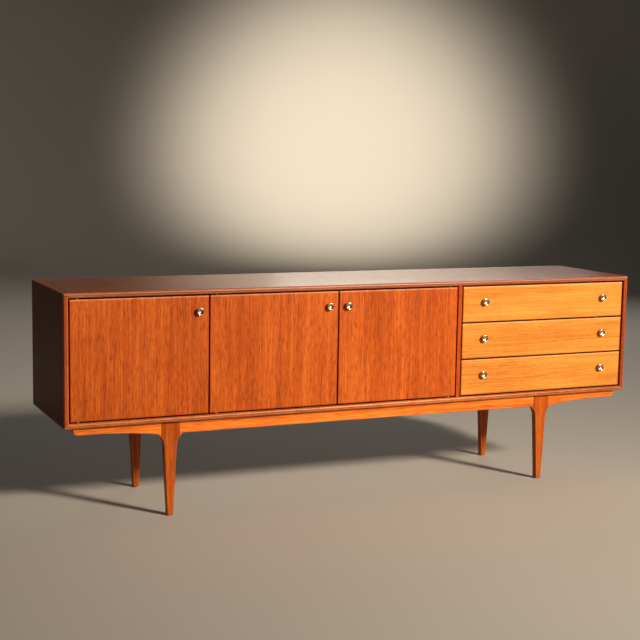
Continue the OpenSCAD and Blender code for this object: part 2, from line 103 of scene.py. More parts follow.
def skin(rings):
    """Points and faces of a tube of rings: ring i's point j joins ring i + 1's point j, and a flat
    face closes each end."""
    count, size = rings.shape[:2]
    index = np.arange(count * size).reshape(count, size)
    here, there = index[:-1], index[1:]
    quads = np.stack([here, np.roll(here, -1, 1), np.roll(there, -1, 1), there], -1).reshape(-1, 4)
    faces = quads.tolist() + [index[0][::-1].tolist(), index[-1].tolist()]
    return rings.reshape(-1, 3), faces


def turned(radii, heights, steps):
    """Rings of a turned shape about Z: each point is (r cos a, r sin a, h), a going evenly round."""
    a = np.linspace(0, 2 * np.pi, steps, endpoint=False)
    x = radii[:, None] * np.cos(a)
    y = radii[:, None] * np.sin(a)
    z = np.broadcast_to(heights[:, None], x.shape)
    return np.stack([x, y, z], -1)


def studio_floor():
    """The bowl's outline: flat to FLOOR_R, a quarter circle of BEND_R, then straight up. Its last
    face, which would close the bowl, is left out."""
    bend = np.linspace(0, np.pi / 2, BEND_STEPS + 1)[1:]
    r = np.concatenate([[MIDDLE_R, FLOOR_R], FLOOR_R + BEND_R * np.sin(bend), [FLOOR_R + BEND_R]])
    h = np.concatenate([[0, 0], BEND_R * (1 - np.cos(bend)), [BEND_R + WALL_H]])
    points, faces = skin(turned(r, h, ROUND_STEPS))
    mesh = bpy.data.meshes.new("studio_floor")
    mesh.from_pydata(points, [], faces[:-1])
    mesh.polygons.foreach_set("use_smooth", np.ones(len(mesh.polygons), bool))
    return bpy.data.objects.new("studio_floor", mesh)


def floor_finish():
    """Pale matt floor covering with a faint uneven nap."""
    made, tree, shader, place = new_finish("pale_floor")
    nap = speckle(tree, place, per_metre=90.0, detail=3.0)
    shade = (*(NAP_SHADE * c for c in FLOOR_TONE[:3]), 1)
    tree.links.new(mixed(tree, nap, shade, FLOOR_TONE), shader.inputs["Base Color"])
    roughen(tree, shader, nap, strength=0.15, depth=0.002)
    shader.inputs["Roughness"].default_value = 0.9
    return made


def hang(name, light, place, target):
    """Hangs a light at place, facing target."""
    made = bpy.data.objects.new(name, light)
    made.location = place
    made.rotation_euler = (Vector(target) - Vector(place)).to_track_quat("-Z", "Y").to_euler()
    bpy.context.collection.objects.link(made)


def soft_lamp(name, place, target, size, power, tone, spread=180):
    """A square soft lamp, its beam limited to the spread in degrees."""
    light = bpy.data.lights.new(name, "AREA")
    light.shape = "SQUARE"
    light.size = size
    light.spread = math.radians(spread)
    light.energy = power
    light.color = tone
    hang(name, light, place, target)


floor = studio_floor()
floor.data.materials.append(floor_finish())
bpy.context.collection.objects.link(floor)

soft_lamp(
    "warm_key",
    place=(3.5, -6.3, 3.95),
    target=(0, 0, 0.45),
    size=1.0,
    power=152,
    tone=(1.0, 0.85, 0.66),
    spread=70,
)
soft_lamp(
    "front_fill", place=(1.5, -6.5, 1.4), target=(0, 0, 0.5), size=2.4, power=26, tone=(1.0, 0.90, 0.80)
)
soft_lamp(
    "back_fill", place=(3.0, 4.8, 3.0), target=(0, 0, 0.4), size=2.6, power=60, tone=(1.0, 0.94, 0.86)
)

pool = bpy.data.lights.new("backdrop_pool", "SPOT")
pool.energy = 4600
pool.color = (1.0, 0.88, 0.70)
pool.spot_size = math.radians(38)
pool.spot_blend = 1.0
pool.shadow_soft_size = 0.6
hang("backdrop_pool", pool, place=(1.6, 3.6, 4.8), target=(4.35, 9.4, 1.3))

sky = bpy.data.worlds.new("studio_sky")
sky.use_nodes = True
sky.node_tree.nodes["Background"].inputs["Color"].default_value = (1.0, 0.96, 0.92, 1)
sky.node_tree.nodes["Background"].inputs["Strength"].default_value = 0.05
bpy.context.scene.world = sky
bpy.context.scene.view_settings.view_transform = "Standard"


# ---- The camera ----
# It stands to the left of the case, well in front and a little above it, and looks across to the
# right. Its place is measured from the case's left side, front and underside.

lip_low, lip_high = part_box("top_lipping")
CASE_HALF = lip_high[0]
CASE_FRONT = lip_low[1]
CASE_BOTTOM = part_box("bottom_lipping")[0][2]
OUT_LEFT, OUT_FRONT, ABOVE_CASE_BOTTOM = 1.0145, 4.26, 0.9376
YAW, PITCH, ROLL = (math.radians(a) for a in (24.21, 7.47, 0.947))
LENS_MM, SENSOR_MM = 76.24, 36

camera = bpy.data.objects.new("camera", bpy.data.cameras.new("camera"))
camera.data.lens = LENS_MM
camera.data.sensor_width = SENSOR_MM
camera.matrix_world = (
    Matrix.Translation((-CASE_HALF - OUT_LEFT, CASE_FRONT - OUT_FRONT, CASE_BOTTOM + ABOVE_CASE_BOTTOM))
    @ Matrix.Rotation(-YAW, 4, "Z")
    @ Matrix.Rotation(math.pi / 2 - PITCH, 4, "X")
    @ Matrix.Rotation(ROLL, 4, "Z")
)
bpy.context.collection.objects.link(camera)
bpy.context.scene.camera = camera


# ---- Case boards ----
# Top, bottom and two sides: veneered board, mitred at the four corners and rebated behind for the
# back. The outside corners are eased by hand; a fine dark line shows where the lipping is glued on.

CASE_TOP = lip_high[2]
BOARD = lip_high[2] - lip_low[2]
BOARD_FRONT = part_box("top_panel")[0][1]
CASE_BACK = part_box("top_panel")[1][1]
INNER_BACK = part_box("back_panel")[0][1]
INNER_HALF_W = CASE_HALF - BOARD
INNER_HALF_H = (CASE_TOP - CASE_BOTTOM) / 2 - BOARD
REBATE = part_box("back_panel")[1][0] - INNER_HALF_W
CASE_MID_Z = (CASE_TOP + CASE_BOTTOM) / 2

CORNER_R = 0.0015
CORNER_WEAR = 0.6
GLUE_LINE = 0.0005
FADE = 0.006
SHARP = math.radians(40)

# A pattern's two sizes are its width across the grain and its length along it.
WANDER = (0.16, 0.7)
SWAY = 0.035
BROAD = (0.12, 0.5)
BANDS = (0.016, 0.9)
LINES = (0.0042, 0.35)
FIBRES = (0.0011, 0.035)
PORES = (0.0006, 0.009)
WIRY = 0.7
FLECK_SHADE = 1.6
PORE_TONE = 0.65
# Pale wood for edges where rubbing has lifted the oil, and also for a painted highlight on the upper edges
# of fronts and boards and on the lippings' rounding.
BARE_AND_HIGHLIGHT_TONE = (0.84, 0.52, 0.33)
BARE_AND_HIGHLIGHT_SHARE = 0.5
# Dark red used both for grime in glue lines and for painted shade in the gaps, on the lower and side edges
# of the fronts, and on the lippings' sides.
GRIME_AND_SHADE_TONE = (0.21, 0.014, 0.003, 1)
GRIME_AND_SHADE_SHARE = 0.8

# The axes by number, for grain and thickness, and the directions along them.
X, Y, Z = 0, 1, 2
LEFT, RIGHT = (-1, 0, 0), (1, 0, 0)
DOWN, UP = (0, 0, -1), (0, 0, 1)


def rounded(corners, radii, steps=4, fade=FADE):
    """A closed outline with round corners, and its wear. Each arc's centre lies on its corner's
    bisector, at the radius over the sine of half the angle; its points turn evenly about it. A point
    at the fade distance beyond each end of the arc brings the wear back to nothing."""
    corners = np.asarray(corners, float)
    radii = np.asarray(radii, float)
    back = np.roll(corners, 1, 0) - corners
    ahead = np.roll(corners, -1, 0) - corners
    back /= np.linalg.norm(back, axis=1, keepdims=True)
    ahead /= np.linalg.norm(ahead, axis=1, keepdims=True)
    half = np.arccos(np.clip((back * ahead).sum(1), -1, 1)) / 2
    run = radii / np.tan(half)
    bisector = back + ahead
    bisector /= np.linalg.norm(bisector, axis=1, keepdims=True)
    centre = corners + bisector * (radii / np.sin(half))[:, None]
    start = corners + back * run[:, None] - centre
    end = corners + ahead * run[:, None] - centre
    a0 = np.arctan2(start[:, 1], start[:, 0])
    sweep = np.arctan2(end[:, 1], end[:, 0]) - a0
    sweep = (sweep + np.pi) % (2 * np.pi) - np.pi
    a = a0[:, None] + sweep[:, None] * np.linspace(0, 1, steps + 1)
    arc = centre[:, None] + radii[:, None, None] * np.stack([np.cos(a), np.sin(a)], -1)
    lead_in = corners + back * (run + fade)[:, None]
    lead_out = corners + ahead * (run + fade)[:, None]
    points = np.concatenate([lead_in[:, None], arc, lead_out[:, None]], 1)
    wear = np.concatenate([[0], np.ones(steps + 1), [0]])
    wear = np.where(radii[:, None] > 0, wear, 0)
    keep = np.ones(wear.shape, bool)
    keep[radii == 0] = False
    keep[radii == 0, 1] = True
    return points[keep], wear[keep]


def facing_out(points, faces):
    """Turns every face round if the solid's volume, a sixth of the sum of a x b . c over its faces'
    triangles, comes out below nothing."""
    volume = 0.0
    for face in faces:
        fan = points[face]
        volume += (np.cross(fan[1:-1], fan[2:]) @ fan[0]).sum()
    return [face[::-1] for face in faces] if volume < 0 else faces


def make_piece(name, solids, finish, body, stands_for):
    """One object from solids, each (points, faces, wear): smooth over its rounded edges, flat over
    its broad faces. It rides on its body and stands for its frame nodes."""
    first = np.cumsum([0] + [len(points) for points, faces, wear in solids])
    faces = [
        [index + start for index in face]
        for start, (points, faces, wear) in zip(first, solids)
        for face in facing_out(points, faces)
    ]
    mesh = bpy.data.meshes.new(name)
    mesh.from_pydata(np.concatenate([solid[0] for solid in solids]), [], faces)
    mesh.polygons.foreach_set("use_smooth", np.ones(len(faces), bool))
    mesh.set_sharp_from_angle(angle=SHARP)
    # The wear attribute carries rubbing and grime, and on fronts, boards and lippings also a painted
    # highlight (above nothing) and painted shade (below nothing).
    mesh.attributes.new("wear", "FLOAT", "POINT").data.foreach_set(
        "value", np.concatenate([solid[2] for solid in solids]).astype(np.float32)
    )
    mesh.materials.append(finish)
    made = bpy.data.objects.new(name, mesh)
    bpy.context.collection.objects.link(made)
    weigh = made.modifiers.new("broad_faces_flat", "WEIGHTED_NORMAL")
    weigh.keep_sharp = True
    weigh.weight = 100
    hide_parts(*stands_for)
    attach(made, body)


def mitred_bar(outline, wear, half_inner, origin, along, outward, steps=5):
    """A bar whose outline (u outwards, y back) is carried along, with a 45 degree mitre at each end.
    Near an end the rings lie parallel to the mitre at CORNER_R (cos a - sin a) from it, a from 45
    degrees to nothing, and their depth is BOARD - CORNER_R + CORNER_R cos a, which rounds the
    corner of the case. There its wear is in proportion to the fourth power of u / BOARD."""
    a = np.linspace(np.pi / 4, 0, steps)
    offset = np.append(CORNER_R * (np.cos(a) - np.sin(a)), CORNER_R + FADE)
    depth = np.append((BOARD - CORNER_R + CORNER_R * np.cos(a)) / BOARD, 1.0)
    end_wear = np.append(np.linspace(1, CORNER_WEAR, steps), 0)
    u = outline[:, 0] * depth[:, None]
    s = half_inner + u - offset[:, None]
    y = np.broadcast_to(outline[:, 1], u.shape)
    s = np.concatenate([-s, s[::-1]])
    u, y = (np.concatenate([values, values[::-1]]) for values in (u, y))
    outside = np.clip(outline[:, 0] / BOARD, 0, 1) ** 4
    ring_wear = np.concatenate([end_wear, end_wear[::-1]])[:, None] * outside
    rings = (
        np.asarray(origin)
        + s[..., None] * np.asarray(along)
        + u[..., None] * np.asarray(outward)
        + y[..., None] * np.array([0, 1, 0])
    )
    points, faces = skin(rings)
    return points, faces, np.maximum(ring_wear, wear).ravel()


def added(tree, value, amount, base):
    """base + value times amount."""
    return node(
        tree, "ShaderNodeMath", {0: value, 1: amount, 2: base}, operation="MULTIPLY_ADD"
    ).outputs[0]


def carried(tree, value, amount, base):
    """base + (value - 0.5) times amount, for adding one grain pattern to the others."""
    centred = node(tree, "ShaderNodeMath", {0: value, 1: 0.5}, operation="SUBTRACT").outputs[0]
    return added(tree, centred, amount, base)


def part_of(tree, value, amount):
    """value times amount, kept between nothing and one."""
    return node(
        tree, "ShaderNodeMath", {0: value, 1: amount}, operation="MULTIPLY", use_clamp=True
    ).outputs[0]


def ranged(tree, value, span, result):
    """The value's span stretched over the result's, and held at its ends beyond them."""
    return node(
        tree, "ShaderNodeMapRange", {0: value, 1: span[0], 2: span[1], 3: result[0], 4: result[1]}
    ).outputs[0]


def streaks(tree, place, grain, size, detail=2.0, rough=0.55):
    """Noise drawn out along the grain: its patches have the size's width across it and its length
    along it."""
    width, length = size
    scale = [1 / width] * 3
    scale[grain] = 1 / length
    drawn = node(tree, "ShaderNodeMapping", {"Vector": place, "Scale": scale}).outputs[0]
    return node(
        tree,
        "ShaderNodeTexNoise",
        {"Vector": drawn, "Scale": 1.0, "Detail": detail, "Roughness": rough},
    ).outputs[0]


def swayed(tree, place, grain):
    """Place moved sideways by up to SWAY, slowly along the grain, so that the figure wanders."""
    across = [SWAY] * 3
    across[grain] = 0
    wander = streaks(tree, place, grain, WANDER)
    sideways = node(tree, "ShaderNodeVectorMath", {0: wander, 1: across}, operation="MULTIPLY")
    return node(
        tree, "ShaderNodeVectorMath", {0: place, 1: sideways.outputs[0]}, operation="ADD"
    ).outputs[0]


def toned(tree, factor, tones):
    """The colour that factor picks from the tones, spaced evenly from nothing to one."""
    ramp = node(tree, "ShaderNodeValToRGB", {0: factor})
    stops = ramp.color_ramp.elements
    while len(stops) < len(tones):
        stops.new(0.5)
    for i, tone in enumerate(tones):
        stops[i].position = i / (len(tones) - 1)
        stops[i].color = (*tone, 1)
    return ramp.outputs[0]


def handled(tree, place, colour, light_tone):
    """The colour as handling and the light leave it: paler in patches where the wear is above nothing,
    which is partly rubbing and partly a painted highlight; darker where it is below, which is grime
    at glue lines and painted shade in gaps, on lower edges and on lipping sides. Also how far it is
    made paler."""
    wear = node(tree, "ShaderNodeAttribute", attribute_name="wear").outputs["Fac"]
    patches = speckle(tree, place, per_metre=45.0, detail=3.0)
    rubbing_and_highlight = part_of(tree, wear, ranged(tree, patches, span=(0.35, 0.65), result=(0.35, 0.85)))
    grime_and_shade = part_of(tree, wear, -GRIME_AND_SHADE_SHARE)
    bare_and_lit = (*(BARE_AND_HIGHLIGHT_SHARE * (c + pale) for c, pale in zip(light_tone, BARE_AND_HIGHLIGHT_TONE)), 1)
    colour = mixed(tree, rubbing_and_highlight, colour, bare_and_lit)
    return mixed(tree, grime_and_shade, colour, GRIME_AND_SHADE_TONE), rubbing_and_highlight


def oiled_teak(name, grain, start, tones, weights, flecks=(0.0035, 0.022, 0.5), gloss=0.34, shine=0.3):
    """Oiled teak with its grain along X, Y or Z. tones run from the dark growth lines to the light
    wood. weights say how strongly the broad tone, bands, lines and fibres show. flecks are the short
    dark strokes: their width, length and darkness. Edges paled by rubbing, and edges paled as a
    painted highlight, are lighter and duller."""
    made, tree, shader, place = new_finish(name)
    place = node(tree, "ShaderNodeMapping", {"Vector": place, "Location": start}).outputs[0]
    place = swayed(tree, place, grain)
    broad = streaks(tree, place, grain, BROAD)
    bands = streaks(tree, place, grain, BANDS, detail=3.0)
    lines = streaks(tree, place, grain, LINES)
    fibres = streaks(tree, place, grain, FIBRES, rough=WIRY)
    *stroke_size, darkness = flecks
    strokes = streaks(tree, place, grain, stroke_size, detail=1.5)
    pores = streaks(tree, place, grain, PORES, detail=1.0)
    pores = ranged(tree, pores, span=(0.60, 0.74), result=(0.0, 0.5))

    tone = 0.5
    for pattern, weight in zip((broad, bands, lines, fibres), weights):
        tone = carried(tree, pattern, weight, tone)
    tone = carried(tree, strokes, -FLECK_SHADE * darkness, tone)
    strokes = ranged(tree, strokes, span=(0.54, 0.74), result=(0.0, darkness))
    dark = (*(PORE_TONE * c for c in tones[0]), 1)
    colour = mixed(tree, strokes, toned(tree, tone, tones), dark)
    colour = mixed(tree, pores, colour, dark)
    colour, rubbing_and_highlight = handled(tree, place, colour, tones[-1])
    tree.links.new(colour, shader.inputs["Base Color"])

    rough = carried(tree, broad, amount=0.12, base=gloss)
    rough = carried(tree, fibres, amount=0.18, base=rough)
    rough = added(tree, pores, amount=0.3, base=rough)
    rough = added(tree, rubbing_and_highlight, amount=0.12, base=rough)
    tree.links.new(rough, shader.inputs["Roughness"])
    relief = added(tree, pores, amount=-1.0, base=fibres)
    roughen(tree, shader, relief, strength=0.22, depth=0.0004)
    shader.inputs["Specular IOR Level"].default_value = shine
    return made


CASE_TONES = ((0.14, 0.026, 0.005), (0.26, 0.055, 0.010), (0.40, 0.100, 0.020))
# The sides are the same teak as the top, given darker tones as painted shade.
SHADED_SIDE_TONES = ((0.06, 0.008, 0.001), (0.11, 0.017, 0.002), (0.17, 0.032, 0.005))
CASE_WEIGHTS = (0.9, 1.2, 0.8, 0.5)

board_outline, board_wear = rounded(
    [
        (0, BOARD_FRONT),
        (BOARD, BOARD_FRONT),
        (BOARD, CASE_BACK),
        (REBATE, CASE_BACK),
        (REBATE, INNER_BACK),
        (0, INNER_BACK),
    ],
    [0, GLUE_LINE, CORNER_R, 0, 0, 0],
)
board_wear = np.where(np.abs(board_outline[:, 1] - BOARD_FRONT) < 2 * GLUE_LINE, -board_wear, board_wear)

case_sides = {
    "top_panel": (INNER_HALF_W, (0, 0, CASE_TOP - BOARD), RIGHT, UP),
    "bottom_panel": (INNER_HALF_W, (0, 0, CASE_BOTTOM + BOARD), RIGHT, DOWN),
    "left_side_panel": (INNER_HALF_H, (-INNER_HALF_W, 0, CASE_MID_Z), UP, LEFT),
    "right_side_panel": (INNER_HALF_H, (INNER_HALF_W, 0, CASE_MID_Z), UP, RIGHT),
}
level_board_teak = oiled_teak(
    "case_teak_level", X, (3.1, 0.7, 1.9), CASE_TONES, CASE_WEIGHTS, gloss=0.14, shine=0.6
)
shaded_upright_teak = oiled_teak(
    "case_teak_upright_shaded", Z, (0.4, 2.7, 5.2), SHADED_SIDE_TONES, CASE_WEIGHTS, gloss=0.36, shine=0.05
)
for name, (half, origin, along, outward) in case_sides.items():
    teak = level_board_teak if along == RIGHT else shaded_upright_teak
    board = mitred_bar(board_outline, board_wear, half, origin, along, outward)
    make_piece(name + "_wood", [board], teak, "cabinet", [name])


# ---- Lippings ----
# Solid teak strips glued along the four front edges and mitred at the corners, with both front
# corners rounded. Their rounding is made a little paler, partly by rubbing and partly as a painted
# highlight. Grime darkens the glue line; painted shade darkens the inner side that faces the doors
# and the outer side behind the rounding.

LIP_R = 0.007
LIP_FADE = 0.002
LIP_RUB_AND_HIGHLIGHT = 0.14
LIP_PAINTED_SHADE = 0.8
INNER_SHADE_W, OUTER_SHADE_W = 0.5 * LIP_R, 0.2 * LIP_R
SHADE_FROM_FRONT = 0.3 * LIP_R
LIP_TONES = ((0.17, 0.040, 0.014), (0.32, 0.083, 0.030), (0.46, 0.145, 0.060))
LOW_LIP_TONES = ((0.20, 0.040, 0.007), (0.42, 0.100, 0.018), (0.66, 0.200, 0.045))
SIDE_LIP_TONES = ((0.22, 0.028, 0.003), (0.42, 0.062, 0.007), (0.60, 0.110, 0.014))
LIP_WEIGHTS = (0.7, 0.9, 0.9, 0.5)

lip_outline, lip_wear_and_shading = rounded(
    [(0, CASE_FRONT), (BOARD, CASE_FRONT), (BOARD, BOARD_FRONT), (0, BOARD_FRONT)],
    [LIP_R, LIP_R, GLUE_LINE, 0],
    steps=8,
    fade=LIP_FADE,
)
across, back = lip_outline.T
at_joint = np.abs(back - BOARD_FRONT) < 2 * GLUE_LINE
# Painted shade: the inner side facing the doors and the outer side behind the rounding.
on_a_side = (across < INNER_SHADE_W) | (across > BOARD - OUTER_SHADE_W)
lip_shade_zone = on_a_side & (back > CASE_FRONT + SHADE_FROM_FRONT)
# The glue line is darker with grime, the shaded sides are painted dark, and the rest of the rounding is
# paler by rubbing and painted highlight.
lip_wear_and_shading = np.where(at_joint, -lip_wear_and_shading, np.where(lip_shade_zone, -LIP_PAINTED_SHADE, LIP_RUB_AND_HIGHLIGHT * lip_wear_and_shading))

level_lip_teak = oiled_teak("lipping_teak_level", X, (7.7, 1.3, 0.2), LIP_TONES, LIP_WEIGHTS, gloss=0.33)
low_lip_teak = oiled_teak("lipping_teak_low", X, (3.4, 2.3, 0.7), LOW_LIP_TONES, LIP_WEIGHTS, gloss=0.33)
upright_lip_teak = oiled_teak(
    "lipping_teak_upright", Z, (2.2, 4.1, 0.9), SIDE_LIP_TONES, LIP_WEIGHTS, gloss=0.36, shine=0.12
)
lippings = {
    name.replace("panel", "lipping"): mitred_bar(lip_outline, lip_wear_and_shading, *sides)
    for name, sides in case_sides.items()
}
for name, teak in (("top_lipping", level_lip_teak), ("bottom_lipping", low_lip_teak)):
    make_piece(name + "_wood", [lippings[name]], teak, "cabinet", [name])
make_piece(
    "side_lippings_wood",
    [lippings["left_side_lipping"], lippings["right_side_lipping"]],
    upright_lip_teak,
    "cabinet",
    ["side_lippings"],
)


# ---- Dividers and shelves ----
# Two upright boards stand between top and bottom; the right one's front edge shows as a stile
# between doors and drawers. A shelf lies in each cupboard on pins. All are veneered, with eased edges.

DIVIDER_EASE = 0.0008
FIRST_TURN = 0.12
INNER_FADE = 0.8
INNER_REACH = 0.02
# Painted shade on the lower and side rounded edges, as a share of the gap shade.
LOWER_EDGE_SHADE = 0.35
TOUCHING = 1e-6


def layered(flat, level, axis):
    """Rings from points (count, size, 2) in the plane across the axis, each ring at its own level."""
    level = np.broadcast_to(np.asarray(level)[:, None], flat.shape[:2])
    first, second = flat[..., 0], flat[..., 1]
    return np.stack([(level, first, second), (first, level, second), (first, second, level)][axis], -1)


def eased_box(low, high, ease, axis, worn=0.8, gap_shade=0.0, steps=4):
    """A box with round edges. Its outline across the axis is rounded; the nearest point of the box
    shrunk by ease is each point's centre, and ring by ring the distance from it is ease sin a, at a
    depth of ease (1 - cos a) from the face. An innermost ring, further in, ends the wear. The narrow
    sides are darkened with painted shade where they face a gap. Only the upper edges are made paler,
    partly by rubbing and partly as a painted highlight; the other rounded edges get painted shade, a
    share of the gap's."""
    a, b = [i for i in range(3) if i != axis]
    first, last = np.array([low[a], low[b]]), np.array([high[a], high[b]])
    corners = [(first[0], first[1]), (last[0], first[1]), (last[0], last[1]), (first[0], last[1])]
    outline = rounded(corners, [ease] * 4, steps)[0]
    centre = np.clip(outline, first + ease, last - ease)
    reach = outline - centre
    turn = np.linspace(FIRST_TURN, np.pi / 2, steps + 1)
    clear = ease + INNER_FADE * FADE
    inner = np.clip(outline, first + clear, last - clear) + INNER_REACH * reach
    flat = np.concatenate([inner[None], centre + np.sin(turn)[:, None, None] * reach])
    depth = np.append(0, ease * (1 - np.cos(turn)))
    level = np.concatenate([low[axis] + depth, (high[axis] - depth)[::-1]])
    wear = np.append(0, np.full(steps + 1, worn))
    # Painted shade on the narrow sides, which face the gaps.
    wear[-1] = -gap_shade
    points, faces = skin(layered(np.concatenate([flat, flat[::-1]]), level, axis))
    wear = np.repeat(np.concatenate([wear, wear[::-1]]), len(outline))
    # Upper edges keep the paleness of rubbing and painted highlight; the other rounded edges turn to
    # painted shade.
    upper = points[:, 2] > high[2] - ease - TOUCHING
    return points, faces, np.where((wear > 0) & ~upper, -LOWER_EDGE_SHADE * gap_shade, wear)


def eased_board(name, ease, axis, worn=0.8, gap_shade=0.0):
    """A board that fills a frame node's box, its thickness along the axis."""
    low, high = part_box(name)
    return eased_box(low, high, ease, axis, worn, gap_shade)


for name in ("cupboard_divider", "drawer_divider"):
    board = eased_board(name, DIVIDER_EASE, X, worn=0.2)
    # The cupboard divider also takes the sides' darker tones, which are painted shade.
    teak = upright_lip_teak if name == "drawer_divider" else shaded_upright_teak
    make_piece(name + "_wood", [board], teak, "cabinet", [name])
for name in ("small_shelf", "wide_shelf"):
    board = eased_board(name, DIVIDER_EASE, Z)
    make_piece(name + "_wood", [board], level_board_teak, "cabinet", [name])


# ---- Back, its screws, shelf pins and catches ----
# The back is thin plywood screwed into the rebate with brass screws. Shelf pins and door pivots are
# brass too; the magnet catches are brown plastic. These frame pieces have the right shape already.

PLY_EASE = 0.0004
SCREW_EASE = 0.0003
CATCH_EASE = 0.0008
WELD = 0.00001
PLY_TONES = ((0.24, 0.12, 0.055), (0.36, 0.20, 0.095), (0.47, 0.29, 0.15))
TIMBER_BROAD_L, TIMBER_STREAK_L = 0.6, 0.25
TIMBER_FIBRES = (0.0009, 0.02)
SCRATCHES = (0.0004, 0.008)
TARNISH_SHADE = 0.62
SCUFF_SHADE = 1.5


def frame_piece(name, finish, ease):
    """Gives a frame node its finish, and eases its sharp edges once its triangles are joined."""
    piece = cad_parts[name]
    piece.data.materials.clear()
    piece.data.materials.append(finish)
    weld = piece.modifiers.new("join", "WELD")
    weld.merge_threshold = WELD
    bevel = piece.modifiers.new("ease", "BEVEL")
    bevel.width = ease
    bevel.segments = 2
    bevel.limit_method = "ANGLE"
    bevel.angle_limit = SHARP


def plain_timber(name, grain, start, tones, width, gloss):
    """Bare or waxed pale wood: streaks of the width, and others eight times as broad, take its colour
    from tone to tone; fine fibres roughen it, and its edges with wear are lighter."""
    made, tree, shader, place = new_finish(name)
    place = node(tree, "ShaderNodeMapping", {"Vector": place, "Location": start}).outputs[0]
    broad = streaks(tree, place, grain, (8 * width, TIMBER_BROAD_L))
    narrow = streaks(tree, place, grain, (width, TIMBER_STREAK_L), detail=3.0)
    fibres = streaks(tree, place, grain, TIMBER_FIBRES, rough=WIRY)
    tone = carried(tree, broad, amount=1.2, base=0.5)
    tone = carried(tree, narrow, amount=0.9, base=tone)
    tone = carried(tree, fibres, amount=0.5, base=tone)
    wear = node(tree, "ShaderNodeAttribute", attribute_name="wear").outputs["Fac"]
    colour = mixed(tree, part_of(tree, wear, 0.3), toned(tree, tone, tones), (*tones[-1], 1))
    tree.links.new(colour, shader.inputs["Base Color"])
    tree.links.new(carried(tree, fibres, amount=0.3, base=gloss), shader.inputs["Roughness"])
    roughen(tree, shader, fibres, strength=0.3, depth=0.0004)
    return made


def dull_metal(name, colour, rough):
    """Plated or plain metal handled for years: fine scratches, cloudy patches, a little tarnish."""
    made, tree, shader, place = new_finish(name)
    cloud = speckle(tree, place, per_metre=160.0, detail=3.0)
    scratch = streaks(tree, place, X, SCRATCHES, rough=WIRY)
    tarnish = (*(TARNISH_SHADE * c for c in colour), 1)
    clean = ranged(tree, cloud, span=(0.35, 0.62), result=(0.0, 1.0))
    tree.links.new(mixed(tree, clean, tarnish, (*colour, 1)), shader.inputs["Base Color"])
    rough = carried(tree, scratch, amount=0.2, base=rough)
    rough = carried(tree, cloud, amount=-0.25, base=rough)
    tree.links.new(rough, shader.inputs["Roughness"])
    roughen(tree, shader, scratch, strength=0.12, depth=0.0002)
    shader.inputs["Metallic"].default_value = 1.0
    return made


def moulded_plastic(name, colour):
    """Dark moulded plastic with a fine spark texture and slight scuffing."""
    made, tree, shader, place = new_finish(name)
    spark = speckle(tree, place, per_metre=1400.0, detail=2.0)
    scuff = speckle(tree, place, per_metre=120.0, detail=4.0)
    scuffed = (*(SCUFF_SHADE * c for c in colour), 1)
    marks = ranged(tree, scuff, span=(0.5, 0.75), result=(0.0, 0.7))
    tree.links.new(mixed(tree, marks, (*colour, 1), scuffed), shader.inputs["Base Color"])
    tree.links.new(carried(tree, scuff, amount=0.4, base=0.5), shader.inputs["Roughness"])
    roughen(tree, shader, spark, strength=0.2, depth=0.0003)
    return made


back_ply = plain_timber("back_plywood", X, (1.1, 0.2, 0.6), PLY_TONES, width=0.006, gloss=0.62)
brass = dull_metal("dull_brass", (0.62, 0.43, 0.17), rough=0.34)
zinc = dull_metal("zinc_plate", (0.52, 0.51, 0.48), rough=0.38)
brown_plastic = moulded_plastic("brown_plastic", (0.055, 0.028, 0.015))

frame_piece("back_panel", back_ply, PLY_EASE)
for name in ("back_panel_screws", "shelf_pins", "pivot_pins"):
    frame_piece(name, brass, SCREW_EASE)
frame_piece("magnet_catches", brown_plastic, CATCH_EASE)


# ---- Base ----
# Solid teak. Each long face is a rail between two legs and a short tapered end beyond each leg; the
# leg heads fill the rail's full height and flow into it in one curve. Two cross rails join the faces,
# with a curved bracket down each leg. All free edges are softly rounded; a glide is under each foot.

EDGE_R = 0.0035
EDGE_FADE = 0.004
EDGE_RUB = 0.15
SMOOTH_TURN = 0.1
FOOT_W = 0.020
NECK_W = 0.046
NECK_DOWN = 0.085
RAIL_H = 0.042
SHOULDER_W = 0.021
TIP_H = 0.026
TIP_R = 0.014
TAPER_POWER = 2.5
BRACKET_L, BRACKET_H = 0.060, 0.030
CROSS_THICK = 0.022
CROSS_EDGE_R = 0.0015
GLIDE_EASE = 0.0006
LEG_CURVE_STEPS, RAIL_CURVE_STEPS = 14, 6
TAPER_STEPS, TIP_STEPS, BRACKET_STEPS = 24, 8, 12
RAIL_TONES = ((0.40, 0.070, 0.005), (0.72, 0.160, 0.014), (0.90, 0.260, 0.032))
LEG_TONES = ((0.20, 0.030, 0.002), (0.37, 0.066, 0.004), (0.52, 0.115, 0.009))
RAIL_WEIGHTS = (0.8, 1.5, 1.3, 0.5)
LEG_WEIGHTS = (0.8, 1.7, 1.3, 0.6)

leg_low, leg_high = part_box("front_right_leg")
LEG_X = (leg_low[0] + leg_high[0]) / 2
HEAD_HALF = (leg_high[0] - leg_low[0]) / 2
FOOT_Z = leg_low[2]
NECK_Z = CASE_BOTTOM - NECK_DOWN
TIP_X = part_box("rail_ends")[1][0]
CROSS_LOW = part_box("cross_rails")[0][2] + BRACKET_H
FILLET_H = NECK_DOWN - RAIL_H
FILLET_R = (SHOULDER_W**2 + FILLET_H**2) / (2 * SHOULDER_W)
HEAD_ARC = FILLET_R - (HEAD_HALF - NECK_W / 2)
HEAD_JOINT = math.sqrt(FILLET_R**2 - HEAD_ARC**2)


def fillet(low, high, steps):
    """Points up the curve beside a leg, for heights from low to high above the neck: half the neck's
    width plus R - sqrt(R^2 - h^2)."""
    h = np.linspace(low, high, steps + 1)
    return np.stack([NECK_W / 2 + FILLET_R - np.sqrt(FILLET_R**2 - h**2), NECK_Z + h], 1)


